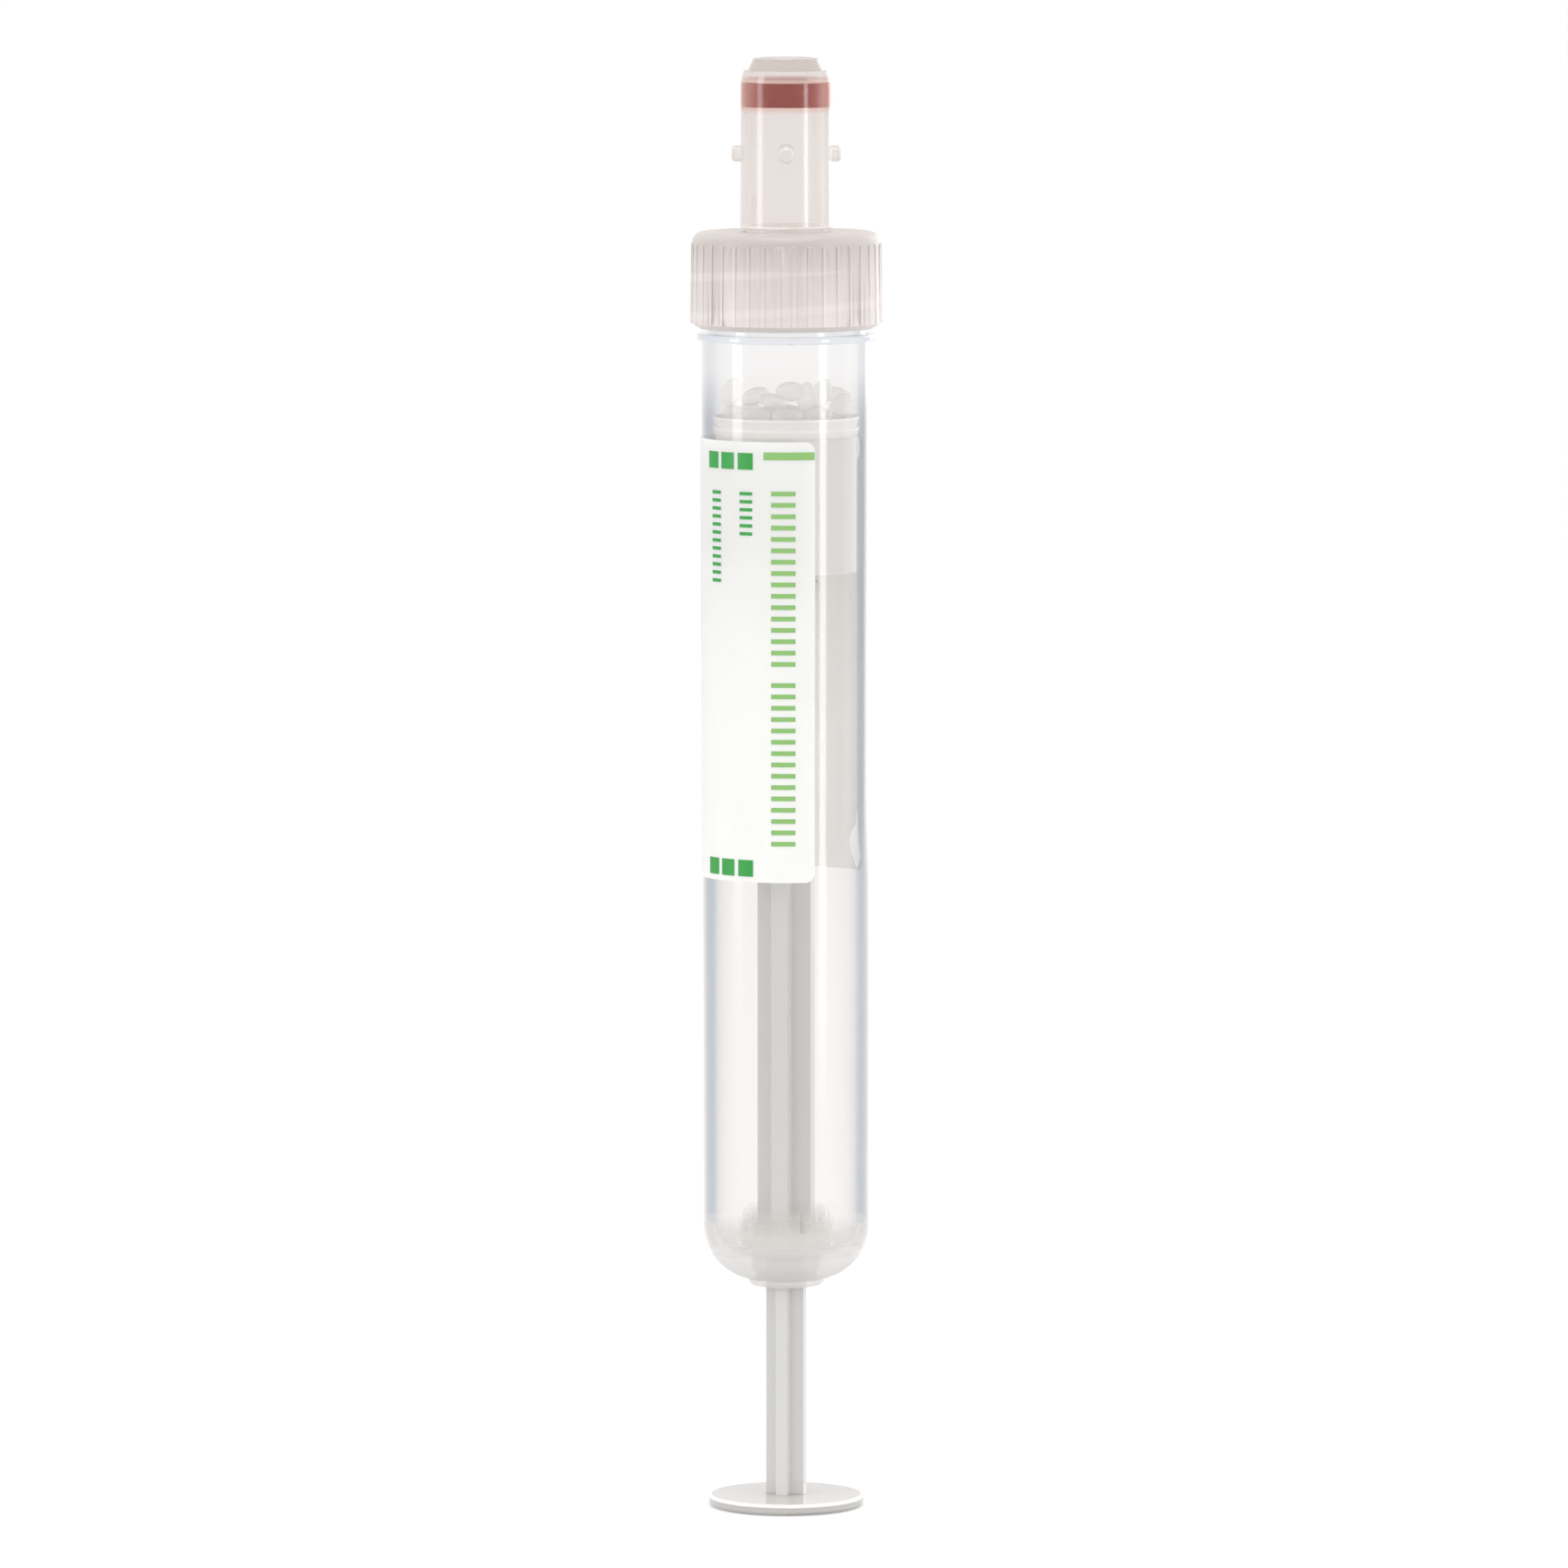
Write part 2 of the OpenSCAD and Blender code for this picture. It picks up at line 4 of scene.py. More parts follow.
import bmesh
import bpy
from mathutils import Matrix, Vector


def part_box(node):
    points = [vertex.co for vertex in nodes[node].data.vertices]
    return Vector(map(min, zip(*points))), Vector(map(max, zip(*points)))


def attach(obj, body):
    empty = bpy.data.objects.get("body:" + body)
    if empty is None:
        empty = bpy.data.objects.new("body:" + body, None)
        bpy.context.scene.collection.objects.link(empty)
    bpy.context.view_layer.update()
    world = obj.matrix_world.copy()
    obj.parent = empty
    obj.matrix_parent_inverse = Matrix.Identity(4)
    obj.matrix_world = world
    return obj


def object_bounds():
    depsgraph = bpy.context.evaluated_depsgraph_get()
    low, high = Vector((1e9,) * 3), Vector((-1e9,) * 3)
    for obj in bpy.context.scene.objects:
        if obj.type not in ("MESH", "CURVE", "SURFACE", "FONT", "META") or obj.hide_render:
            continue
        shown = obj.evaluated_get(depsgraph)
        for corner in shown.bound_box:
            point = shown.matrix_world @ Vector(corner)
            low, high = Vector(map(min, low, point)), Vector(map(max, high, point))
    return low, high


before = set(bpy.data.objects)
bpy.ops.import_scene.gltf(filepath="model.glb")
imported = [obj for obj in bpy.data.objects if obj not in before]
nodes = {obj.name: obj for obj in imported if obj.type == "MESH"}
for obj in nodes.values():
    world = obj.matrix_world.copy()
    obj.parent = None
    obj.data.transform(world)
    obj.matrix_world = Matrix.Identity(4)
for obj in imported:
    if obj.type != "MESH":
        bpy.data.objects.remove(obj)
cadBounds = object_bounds()
mm = 0.001


def linearColour(hexCode, alpha=1.0):
    # an sRGB hex code as the linear colour that Blender's sockets want
    shares = [int(hexCode[i:i + 2], 16) / 255 for i in (1, 3, 5)]
    return tuple(s / 12.92 if s <= 0.04045 else ((s + 0.055) / 1.055) ** 2.4 for s in shares) + (alpha,)


def addNode(tree, kind, settings=None, inputs=None):
    # a node with its settings; an input is a value, a hex code, or another node's output to link from,
    # and the setting called stops is a ramp's list of (place from 0 to 1, hex code or share)
    node = tree.nodes.new(kind)
    settings = dict(settings or {})
    stops = settings.pop("stops", [])
    for name, value in settings.items():
        setattr(node, name, value)
    for index, (at, value) in enumerate(stops):
        elements = node.color_ramp.elements
        element = elements[index] if index < len(elements) else elements.new(at)
        element.position = at
        element.color = linearColour(value) if isinstance(value, str) else (value, value, value, 1.0)
    for name, value in (inputs or {}).items():
        if isinstance(value, bpy.types.NodeSocket):
            tree.links.new(value, node.inputs[name])
        else:
            node.inputs[name].default_value = linearColour(value) if isinstance(value, str) else value
    return node


def newMaterial(name):
    material = bpy.data.materials.new(name)
    material.use_nodes = True
    material.node_tree.nodes.clear()
    return material, material.node_tree


def finishMaterial(tree, surface):
    addNode(tree, "ShaderNodeOutputMaterial", inputs={"Surface": surface})


def dress(nodeName, material):
    # the CAD node keeps its mesh and gets the better material
    for slot in nodes[nodeName].material_slots:
        slot.material = material


# the camera stands where the object is seen a little from above
studioView = {
    "distance": 1.05,  # metres from the middle of the object
    "elevation": 5.5,  # degrees that the camera looks down
    "lens": 267.0,  # mm
    "sensor": 36.0,  # mm across
    "clipStart": 0.01,  # metres, as are the two below
    "aimAside": -0.0002,  # the object stands a hair right of the middle
    "aimUp": 0.0001,
}


def buildCamera():
    low, high = cadBounds
    middle = (Vector(low) + Vector(high)) / 2
    aim = Vector((studioView["aimAside"], 0, middle.z + studioView["aimUp"]))
    tilt = math.radians(studioView["elevation"])
    back = Vector((0, -math.cos(tilt), math.sin(tilt)))
    data = bpy.data.cameras.new("studioCamera")
    data.lens = studioView["lens"]
    data.sensor_width = studioView["sensor"]
    data.clip_start = studioView["clipStart"]
    camera = bpy.data.objects.new("studioCamera", data)
    camera.location = aim + back * studioView["distance"]
    camera.rotation_euler = (-back).to_track_quat("-Z", "Y").to_euler()
    bpy.context.scene.collection.objects.link(camera)
    bpy.context.scene.camera = camera


buildCamera()
print("camera set")

studioLight = {
    "sky": "#FFFFFF",
    "skyLevel": 1.0,  # light from all round on the object
    "skyShown": 1.0,  # the white that the camera sees
    "wallsSeenThrough": 32,  # clear surfaces that a ray may pass
    "scatters": 12,  # times that light may bounce about inside the white label
    "floorWidth": 16.0,
    "floorDrop": 0.00005,  # metres below the thumb plate
    "floorColour": "#C4C4C4",
    "floorGlow": 0.46,
    # name, degrees to the right of the front, distance, height, height it aims at, width, height, power
    "boxes": [
        ("leftBox", -70, 0.60, 0.10, 0.10, 0.16, 0.50, 1.15),
        ("rightStrip", 51, 0.42, 0.066, 0.066, 0.07, 0.26, 0.42),
        ("sideBox", 100, 0.60, 0.12, 0.12, 0.30, 0.50, 0.40),
        ("backBox", 150, 0.60, 0.10, 0.10, 0.30, 0.50, 0.70),
        ("topBox", 0, 0.12, 0.75, 0.06, 0.26, 0.26, 1.00),
    ],
}


def isShown(tree):
    # 1 for what the camera sees, by itself, in a mirror or through a clear body, 0 for light on the object
    path = addNode(tree, "ShaderNodeLightPath").outputs
    shown = path["Is Camera Ray"]
    for ray in ("Is Glossy Ray", "Is Transmission Ray"):
        shown = addNode(tree, "ShaderNodeMath", {"operation": "MAXIMUM"}, {0: shown, 1: path[ray]}).outputs[0]
    return shown


def buildWorld():
    world = bpy.data.worlds.new("whiteStudio")
    bpy.context.scene.world = world
    world.use_nodes = True
    tree = world.node_tree
    tree.nodes.clear()
    level = addNode(tree, "ShaderNodeMapRange",
                    inputs={"Value": isShown(tree), "To Min": studioLight["skyLevel"],
                            "To Max": studioLight["skyShown"]})
    sky = addNode(tree, "ShaderNodeBackground",
                  inputs={"Color": studioLight["sky"], "Strength": level.outputs["Result"]})
    addNode(tree, "ShaderNodeOutputWorld", inputs={"Surface": sky.outputs[0]})
    bpy.context.scene.cycles.transparent_max_bounces = studioLight["wallsSeenThrough"]
    bpy.context.scene.cycles.diffuse_bounces = studioLight["scatters"]


def buildLamps():
    for name, turn, distance, height, aimHeight, width, tall, power in studioLight["boxes"]:
        data = bpy.data.lights.new(name, "AREA")
        data.shape = "RECTANGLE"
        data.size = width
        data.size_y = tall
        data.energy = power
        lamp = bpy.data.objects.new(name, data)
        angle = math.radians(turn)
        lamp.location = (distance * math.sin(angle), -distance * math.cos(angle), height)
        toObject = Vector((0, 0, aimHeight)) - lamp.location
        lamp.rotation_euler = toObject.to_track_quat("-Z", "Y").to_euler()
        lamp.visible_camera = False
        bpy.context.scene.collection.objects.link(lamp)


def buildFloor():
    # matt white paper: the glow brings it up to plain white and leaves the object's shadow on it
    material, tree = newMaterial("whitePaperSweep")
    glow = addNode(tree, "ShaderNodeMath", {"operation": "MULTIPLY"},
                   {0: isShown(tree), 1: studioLight["floorGlow"]})
    paper = addNode(tree, "ShaderNodeBsdfDiffuse", inputs={"Color": studioLight["floorColour"]})
    light = addNode(tree, "ShaderNodeEmission",
                    inputs={"Color": studioLight["sky"], "Strength": glow.outputs[0]})
    both = addNode(tree, "ShaderNodeAddShader", inputs={0: paper.outputs[0], 1: light.outputs[0]})
    finishMaterial(tree, both.outputs[0])
    half = studioLight["floorWidth"] / 2
    corners = [(-half, -half, 0), (half, -half, 0), (half, half, 0), (-half, half, 0)]
    mesh = bpy.data.meshes.new("studioFloor")
    mesh.from_pydata(corners, [], [(0, 1, 2, 3)])
    mesh.materials.append(material)
    floor = bpy.data.objects.new("studioFloor", mesh)
    floor.location.z = -studioLight["floorDrop"]
    bpy.context.scene.collection.objects.link(floor)


buildWorld()
buildLamps()
buildFloor()
print("light and floor set")


def objectAxes(tree):
    # where a point is on the object: its place, X and Y, its height and its distance from the tube's axis
    place = addNode(tree, "ShaderNodeTexCoord").outputs["Object"]
    axes = addNode(tree, "ShaderNodeSeparateXYZ", inputs={0: place}).outputs
    flat = addNode(tree, "ShaderNodeCombineXYZ", inputs={"X": axes["X"], "Y": axes["Y"]})
    reach = addNode(tree, "ShaderNodeVectorMath", {"operation": "LENGTH"}, {0: flat.outputs[0]})
    return {"place": place, "x": axes["X"], "y": axes["Y"], "height": axes["Z"],
            "reach": reach.outputs["Value"]}


def pastEdge(tree, value, edge):
    # 0 before the edge and 1 past it; an edge is its place and the blur to each side of it, in mm,
    # and a negative blur turns it round
    place, blur = edge
    return addNode(tree, "ShaderNodeMapRange",
                   inputs={"Value": value, "From Min": (place - blur) * mm,
                           "From Max": (place + blur) * mm}).outputs["Result"]


def layColours(tree, colour, zones):
    # the colour with each zone's own colour laid over it in turn; a zone is its share and its colour
    for share, zoneColour in zones:
        colour = addNode(tree, "ShaderNodeMix", {"data_type": "RGBA"},
                         {"Factor": share, "A": colour, "B": zoneColour}).outputs["Result"]
    return colour


def skinGrain(tree, place, grain):
    # the fine unevenness that a mould leaves on a plastic skin; grain is its width and height in mm
    width, height = grain
    noise = addNode(tree, "ShaderNodeTexNoise",
                    inputs={"Vector": place, "Scale": 1 / (width * mm), "Detail": 3.0})
    bump = addNode(tree, "ShaderNodeBump", inputs={"Height": noise.outputs["Fac"], "Distance": height * mm})
    return bump.outputs["Normal"]


def comesIn(tree):
    # 1 for light that passes a clear wall on its way to what it lights, 0 for what is seen through the wall
    path = addNode(tree, "ShaderNodeLightPath").outputs
    either = addNode(tree, "ShaderNodeMath", {"operation": "MAXIMUM"},
                     {0: path["Is Shadow Ray"], 1: path["Is Diffuse Ray"]})
    return either.outputs[0]


def polishedSkin(tree, place, body, outside, look):
    # a mirror-like skin over the body, on the outer faces and only where a ray meets them from outside;
    # light on its way in or out is let through
    mirror = addNode(tree, "ShaderNodeFresnel", inputs={"IOR": look["ior"]})
    faces = addNode(tree, "ShaderNodeNewGeometry")
    front = addNode(tree, "ShaderNodeMath", {"operation": "SUBTRACT"},
                    {0: 1.0, 1: faces.outputs["Backfacing"]})
    share = mirror.outputs[0]
    for limit in (front.outputs[0], outside):
        share = addNode(tree, "ShaderNodeMath", {"operation": "MULTIPLY"}, {0: share, 1: limit}).outputs[0]
    share = addNode(tree, "ShaderNodeMath", {"operation": "SUBTRACT", "use_clamp": True},
                    {0: share, 1: comesIn(tree)})
    skin = addNode(tree, "ShaderNodeBsdfAnisotropic",
                   inputs={"Color": "#FFFFFF", "Roughness": look["roughness"],
                           "Normal": skinGrain(tree, place, look["grain"])})
    return addNode(tree, "ShaderNodeMixShader",
                   inputs={0: share.outputs[0], 1: body, 2: skin.outputs[0]}).outputs[0]


# in the looks below, a name that ends in Edge is an edge as pastEdge takes it, by height or by distance from
# the axis, and the stops of wall and cover go from 0 for a face seen square on to 1 for one seen edge on
tubeLook = {
    "skinEdge": (6.845, 0.075),  # parts the wall's inner face from its outer one
    # the wall stops are painted refraction and reflection: blue-grey sides, light at the very edge
    "wall": [(0.18, "#F5F3F2"), (0.27, "#F3F1F1"), (0.34, "#F0EFEE"), (0.38, "#EDECEC"), (0.43, "#E9E8E8"),
             (0.48, "#DFE0E2"), (0.53, "#D6D9DD"), (0.60, "#D3D6DA"), (0.69, "#D6D7DA"), (0.80, "#E5E2E0"),
             (0.95, "#ECE8E5")],
    "clear": "#FEFEFE",
    "letsIn": "#FEFEFE",  # light that comes in is bent, not held back, so it misses the edges' colour
    "collarEdge": (7.75, 0.05),  # only the collar stands out this far
    "collar": "#EAEDF1",
    "paleFrom": 98.5,  # mm, the blue of the walls' sides fades from here up
    "paleTo": 103.0,
    "paleShare": 0.6,
    "baseEdge": (26.2, -0.15),  # below this the walls' sides are grey instead of blue
    "baseWall": [(0.1, "#F6F4F3"), (0.4, "#EFEDEC"), (0.62, "#E4E2E1"), (0.85, "#E4E2E0")],
    "milkTop": 25.7,  # mm, from here down the walls turn milky, and more so in the thick base
    "socketEdge": (4.9, -0.1),  # out from the axis, the socket that holds the rod
    "socketTop": 27.5,  # mm, the milk begins here in the socket
    "milkDepth": 2.8,  # mm down to the full milk
    "milk": "#ECEAE8",
    "milkCover": 0.58,
    "ior": 1.49,
    "roughness": 0.12,
    "grain": (1.5, 0.004),  # mm wide and high, as skinGrain takes it
}


def clearPolypropylene():
    # clear polypropylene, injection moulded: glass-clear walls whose sides are painted blue-grey where
    # seen edge on, a painted refraction, milky where the base is thick, under a polished skin
    look = tubeLook
    material, tree = newMaterial("clearPolypropylene")
    spot = objectAxes(tree)
    outside = pastEdge(tree, spot["reach"], look["skinEdge"])
    pale = addNode(tree, "ShaderNodeMapRange",
                   inputs={"Value": spot["height"], "From Min": look["paleFrom"] * mm,
                           "From Max": look["paleTo"] * mm, "To Min": 1.0, "To Max": 1.0 - look["paleShare"]})
    blue = addNode(tree, "ShaderNodeMath", {"operation": "MULTIPLY"}, {0: outside, 1: pale.outputs["Result"]})
    inBase = addNode(tree, "ShaderNodeMath", {"operation": "MULTIPLY"},
                     {0: pastEdge(tree, spot["height"], look["baseEdge"]), 1: outside})
    slant = addNode(tree, "ShaderNodeLayerWeight").outputs["Facing"]
    wall = addNode(tree, "ShaderNodeValToRGB", {"stops": look["wall"]}, {"Fac": slant})
    baseWall = addNode(tree, "ShaderNodeValToRGB", {"stops": look["baseWall"]}, {"Fac": slant})
    tint = layColours(tree, look["clear"], [
        (blue.outputs[0], wall.outputs["Color"]),
        (inBase.outputs[0], baseWall.outputs["Color"]),
        (pastEdge(tree, spot["reach"], look["collarEdge"]), look["collar"]),
        (comesIn(tree), look["letsIn"])])
    through = addNode(tree, "ShaderNodeBsdfTransparent", inputs={"Color": tint})

    milkTop = addNode(tree, "ShaderNodeMapRange",
                      inputs={"Value": pastEdge(tree, spot["reach"], look["socketEdge"]),
                              "To Min": look["milkTop"] * mm, "To Max": look["socketTop"] * mm})
    depth = addNode(tree, "ShaderNodeMath", {"operation": "SUBTRACT"},
                    {0: milkTop.outputs["Result"], 1: spot["height"]})
    cover = addNode(tree, "ShaderNodeMapRange",
                    inputs={"Value": depth.outputs[0], "From Max": look["milkDepth"] * mm,
                            "To Max": look["milkCover"]})
    milk = addNode(tree, "ShaderNodeBsdfDiffuse", inputs={"Color": look["milk"]})
    body = addNode(tree, "ShaderNodeMixShader",
                   inputs={0: cover.outputs["Result"], 1: through.outputs[0], 2: milk.outputs[0]})
    finishMaterial(tree, polishedSkin(tree, spot["place"], body.outputs[0], outside, look))
    return material


# the screw thread: a ridge on the neck and one in the cap, which shows faintly through the cap's plastic
threadForm = {
    "pitch": 3.5,  # mm, as the coupled lift and turn of the closure
    "turns": 1.3,
    "start": 1.0,  # mm above the cap's mouth
    "neckRoot": 7.12,  # mm from the axis, just inside the neck's wall, which ends at 7.15
    "capRoot": 7.63,  # just inside the cap's wall, which begins at 7.6
    "depth": 0.36,  # mm from root to crest
    "rootWidth": 1.0,
    "crestWidth": 0.45,
    "runOut": 0.08,  # share of the length at each end
    "endSize": 0.08,  # share of its size that the ridge keeps at its ends
    "steps": 90,  # points along each turn
}

capLook = {
    "colour": [(0.1, "#E7DFDC"), (0.6, "#DAD2CE"), (0.93, "#CCC4C0")],  # from the mouth, darker up to the top
    "thread": "#FCF5F2",
    "threadShare": 0.22,
    "bandFrom": 0.14,  # share of the pitch from the ridge's middle, where its band begins
    "bandFull": 0.07,
    "threadEdge": (5.45, -0.15),  # above the cap's mouth, where the band stops
    "cover": 0.95,  # how much of each face is milky
    "tint": "#F3E9E5",
    "scatter": 0.3,  # mm that light spreads in the plastic
    "scatterShares": (1.0, 0.9, 0.85),  # of red, green and blue
    "ior": 1.51,
    "roughness": 0.36,
    "grain": (0.5, 0.006),
}


def naturalPolyethylene():
    # natural polyethylene, injection moulded: milky and a little warm, with light that spreads in it and a
    # soft satin skin
    look = capLook
    material, tree = newMaterial("naturalPolyethylene")
    spot = objectAxes(tree)
    low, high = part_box("screw_cap")
    rise = addNode(tree, "ShaderNodeMapRange",
                   inputs={"Value": spot["height"], "From Min": low.z, "From Max": high.z})
    colour = addNode(tree, "ShaderNodeValToRGB", {"stops": look["colour"]}, {"Fac": rise.outputs["Result"]})

    # turns counts up along the thread, and is whole on the cap's ridge, which starts opposite the neck's
    pitch = threadForm["pitch"] * mm
    start = low.z + threadForm["start"] * mm
    bearing = addNode(tree, "ShaderNodeMath", {"operation": "ARCTAN2"}, {0: spot["y"], 1: spot["x"]})
    climb = addNode(tree, "ShaderNodeMath", {"operation": "MULTIPLY_ADD"},
                    {0: bearing.outputs[0], 1: -pitch / (2 * math.pi), 2: spot["height"]})
    turns = addNode(tree, "ShaderNodeMath", {"operation": "MULTIPLY_ADD"},
                    {0: climb.outputs[0], 1: 1 / pitch, 2: 0.5 - start / pitch})
    away = addNode(tree, "ShaderNodeMath", {"operation": "PINGPONG"}, {0: turns.outputs[0], 1: 0.5})
    band = addNode(tree, "ShaderNodeMapRange",
                   inputs={"Value": away.outputs[0], "From Min": look["bandFrom"],
                           "From Max": look["bandFull"]})
    threadTop, blur = look["threadEdge"]
    share = band.outputs["Result"]
    for limit in (pastEdge(tree, spot["height"], (low.z / mm + threadTop, blur)), look["threadShare"]):
        share = addNode(tree, "ShaderNodeMath", {"operation": "MULTIPLY"}, {0: share, 1: limit}).outputs[0]
    colour = layColours(tree, colour.outputs["Color"], [(share, look["thread"])])

    through = addNode(tree, "ShaderNodeBsdfTransparent", inputs={"Color": look["tint"]})
    body = addNode(tree, "ShaderNodeBsdfPrincipled",
                   inputs={"Base Color": colour, "Roughness": look["roughness"], "IOR": look["ior"],
                           "Subsurface Weight": 1.0, "Subsurface Radius": look["scatterShares"],
                           "Subsurface Scale": look["scatter"] * mm,
                           "Normal": skinGrain(tree, spot["place"], look["grain"])})
    surface = addNode(tree, "ShaderNodeMixShader",
                      inputs={0: look["cover"], 1: through.outputs[0], 2: body.outputs[0]})
    finishMaterial(tree, surface.outputs[0])
    return material


adapterLook = {
    "bore": 3.75,  # mm from the axis, parts the neck's inner faces from its outer one
    "hole": 2.4,  # the same in the mouth ring
    "waist": 3.4,  # the same in the waist that the cap clips round
    "skinBlur": 0.1,
    "footEdge": (116.15, -0.05),  # from here down the neck is painted light, over the crevice's shade
    "mouthEdge": (129.5, 0.1),  # above this the hole in the mouth ring
    "ringEdge": (130.0, 0.1),  # the thicker ring round the mouth
    "pinEdge": (4.7, 0.1),  # out from the axis, where only the pins are
    "rubberMiddle": 127.9,  # mm, the height of the membrane's middle behind the neck's wall
    "rubberEdge": (1.1, -0.1),  # up and down from there, the membrane
    "fringeEdge": (1.5, -0.2),  # the same with the fringe of colour that it gives the wall
    "clear": "#FEFDFC",
    "letsIn": "#FEFDFD",
    "wall": [(0.1, "#F5F2F1"), (0.42, "#F4F0EE")],
    "fringeTint": "#EFDAD4",
    "rubberTint": "#C88E84",  # the neck's sides take on the membrane's colour
    "rubberFrom": 0.46,  # how far a side is turned away where it begins to
    "rubberFull": 0.54,
    "pinTint": "#EDE9E6",
    "milk": "#E1DCD8",
    "ringMilk": "#BEB4AE",
    "fringeMilk": "#DCC2B6",
    "rubberMilk": "#EDB7AB",
    "footPaintedLight": "#FCF9F7",
    "cover": [(0.0, 0.12), (0.12, 0.13), (0.28, 0.2), (0.41, 0.26), (0.7, 0.4), (1.0, 0.55)],
    "contact": 0.75,  # how much clearer the wall is, seen square on, where the rubber is pressed on it
    "contactFull": 0.12,  # how far it may be turned away for that
    "contactEnd": 0.34,
    "ringCover": 0.88,
    "pinCover": 0.75,
    "fringeCover": 0.75,
    "footPaintedLightCover": 0.85,
    "ior": 1.49,
    "roughness": 0.16,
    "grain": (2.0, 0.001),
}


def naturalPolypropylene():
    # natural polypropylene, injection moulded thin: more see-through than the cap, and glossy from a polished
    # mould; its sides pick up the colour of the rubber that it holds
    look = adapterLook
    material, tree = newMaterial("naturalPolypropylene")
    spot = objectAxes(tree)
    onFoot = pastEdge(tree, spot["height"], look["footEdge"])
    onRing = pastEdge(tree, spot["height"], look["ringEdge"])
    onPin = pastEdge(tree, spot["reach"], look["pinEdge"])
    inMouth = pastEdge(tree, spot["height"], look["mouthEdge"])
    innerReach = look["bore"] * mm
    for zone, reach in ((inMouth, look["hole"]), (onFoot, look["waist"])):
        innerReach = addNode(tree, "ShaderNodeMath", {"operation": "MULTIPLY_ADD"},
                             {0: zone, 1: (reach - look["bore"]) * mm, 2: innerReach}).outputs[0]
    outside = addNode(tree, "ShaderNodeMath", {"operation": "SUBTRACT"}, {0: spot["reach"], 1: innerReach})
    outside = pastEdge(tree, outside.outputs[0], (0.0, look["skinBlur"]))
    away = addNode(tree, "ShaderNodeMath", {"operation": "SUBTRACT"},
                   {0: spot["height"], 1: look["rubberMiddle"] * mm})
    away = addNode(tree, "ShaderNodeMath", {"operation": "ABSOLUTE"}, {0: away.outputs[0]}).outputs[0]
    onRubber = pastEdge(tree, away, look["rubberEdge"])
    nearRubber = pastEdge(tree, away, look["fringeEdge"])
    beside = addNode(tree, "ShaderNodeMath", {"operation": "SUBTRACT"}, {0: nearRubber, 1: onRubber})
    beside = addNode(tree, "ShaderNodeMath", {"operation": "MULTIPLY", "use_clamp": True},
                     {0: beside.outputs[0], 1: outside}).outputs[0]

    slant = addNode(tree, "ShaderNodeLayerWeight").outputs["Facing"]
    wall = addNode(tree, "ShaderNodeValToRGB", {"stops": look["wall"]}, {"Fac": slant})
    turnedAway = addNode(tree, "ShaderNodeMapRange",
                         inputs={"Value": slant, "From Min": look["rubberFrom"],
                                 "From Max": look["rubberFull"]})
    red = addNode(tree, "ShaderNodeMath", {"operation": "MULTIPLY"},
                  {0: onRubber, 1: turnedAway.outputs["Result"]})
    tint = layColours(tree, wall.outputs["Color"], [
        (nearRubber, look["fringeTint"]), (red.outputs[0], look["rubberTint"]), (onPin, look["pinTint"])])
    tint = layColours(tree, look["clear"], [(outside, tint), (comesIn(tree), look["letsIn"])])
    through = addNode(tree, "ShaderNodeBsdfTransparent", inputs={"Color": tint})

    pressed = addNode(tree, "ShaderNodeMapRange",
                      inputs={"Value": slant, "From Min": look["contactFull"], "From Max": look["contactEnd"],
                              "To Min": -look["contact"], "To Max": 0.0})
    contact = addNode(tree, "ShaderNodeMath", {"operation": "MULTIPLY_ADD"},
                      {0: onRubber, 1: pressed.outputs["Result"], 2: 1.0})
    cover = addNode(tree, "ShaderNodeValToRGB", {"stops": look["cover"]}, {"Fac": slant}).outputs["Color"]
    for limit in (outside, contact.outputs[0]):
        cover = addNode(tree, "ShaderNodeMath", {"operation": "MULTIPLY"}, {0: cover, 1: limit}).outputs[0]
    faces = addNode(tree, "ShaderNodeNewGeometry")
    front = addNode(tree, "ShaderNodeMath", {"operation": "SUBTRACT"},
                    {0: outside, 1: faces.outputs["Backfacing"]}).outputs[0]
    bothSides = 1.0  # these show on a face's front and back alike
    zones = [(onRing, look["ringCover"], front), (onPin, look["pinCover"], front),
             (beside, look["fringeCover"], bothSides), (onFoot, look["footPaintedLightCover"], bothSides)]
    for zone, zoneCover, side in zones:
        part = addNode(tree, "ShaderNodeMath", {"operation": "MULTIPLY"}, {0: zone, 1: zoneCover})
        part = addNode(tree, "ShaderNodeMath", {"operation": "MULTIPLY"}, {0: part.outputs[0], 1: side})
        cover = addNode(tree, "ShaderNodeMath", {"operation": "MAXIMUM"},
                        {0: cover, 1: part.outputs[0]}).outputs[0]

    ringSkin = addNode(tree, "ShaderNodeMath", {"operation": "MULTIPLY"}, {0: onRing, 1: outside})
    # the foot's light milk is painted light over the shaded crevice at the cap
    milkColour = layColours(tree, look["milk"], [
        (ringSkin.outputs[0], look["ringMilk"]), (beside, look["fringeMilk"]),
        (onRubber, look["rubberMilk"]), (onFoot, look["footPaintedLight"])])
    milk = addNode(tree, "ShaderNodeBsdfDiffuse", inputs={"Color": milkColour})
    body = addNode(tree, "ShaderNodeMixShader", inputs={0: cover, 1: through.outputs[0], 2: milk.outputs[0]})
    finishMaterial(tree, polishedSkin(tree, spot["place"], body.outputs[0], outside, look))
    return material


noiseRange = (0.35, 0.7)  # where most of a noise texture's values lie


